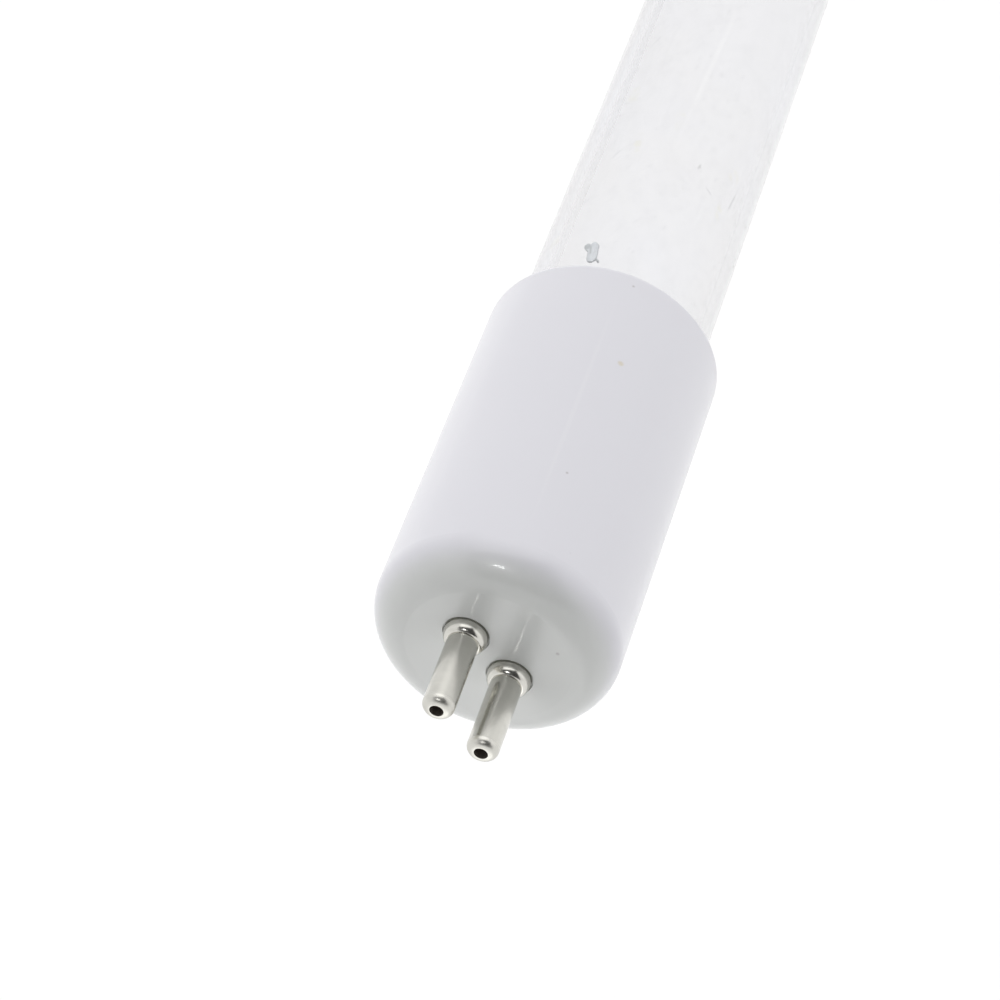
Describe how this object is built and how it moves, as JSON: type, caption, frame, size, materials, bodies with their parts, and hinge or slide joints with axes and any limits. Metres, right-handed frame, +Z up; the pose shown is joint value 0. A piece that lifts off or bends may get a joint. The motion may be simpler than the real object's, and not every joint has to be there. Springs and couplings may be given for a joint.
{
  "type": "uv replacement bulb",
  "caption": "Straight ultraviolet replacement lamp: clear sealed quartz tube with a rounded white ceramic two-pin cap on each end.",
  "frame": {"origin": "centre of the front cap's flat end face, between the two pins", "axes": "+X along the lamp from the front cap to the rear cap, +Z up; the pins' plane is turned 47.6 degrees about X from +Y towards +Z"},
  "size_m": [0.2273, 0.0184, 0.0184],
  "materials": {
    "clear_quartz": "polished",
    "white_ceramic": "gloss",
    "basing_cement": "matte",
    "nickel_plate": "polished",
    "lead_wire": "satin",
    "molybdenum_foil": "satin",
    "coated_tungsten": "matte",
    "amalgam": "satin"
  },
  "bodies": {
    "root": {"quartz_tube": "clear_quartz", "front_end_cap": "white_ceramic", "rear_end_cap": "white_ceramic", "front_cement_ring": "basing_cement", "rear_cement_ring": "basing_cement", "front_pin_a": "nickel_plate", "front_pin_b": "nickel_plate", "rear_pin_a": "nickel_plate", "rear_pin_b": "nickel_plate", "front_lead_wire_a": "lead_wire", "front_lead_wire_b": "lead_wire", "rear_lead_wire_a": "lead_wire", "rear_lead_wire_b": "lead_wire", "front_sealing_foil_a": "molybdenum_foil", "front_sealing_foil_b": "molybdenum_foil", "rear_sealing_foil_a": "molybdenum_foil", "rear_sealing_foil_b": "molybdenum_foil", "front_electrode_post_a": "lead_wire", "front_electrode_post_b": "lead_wire", "rear_electrode_post_a": "lead_wire", "rear_electrode_post_b": "lead_wire", "front_filament": "coated_tungsten", "rear_filament": "coated_tungsten", "amalgam_spot": "amalgam"}
  },
  "joints": []
}
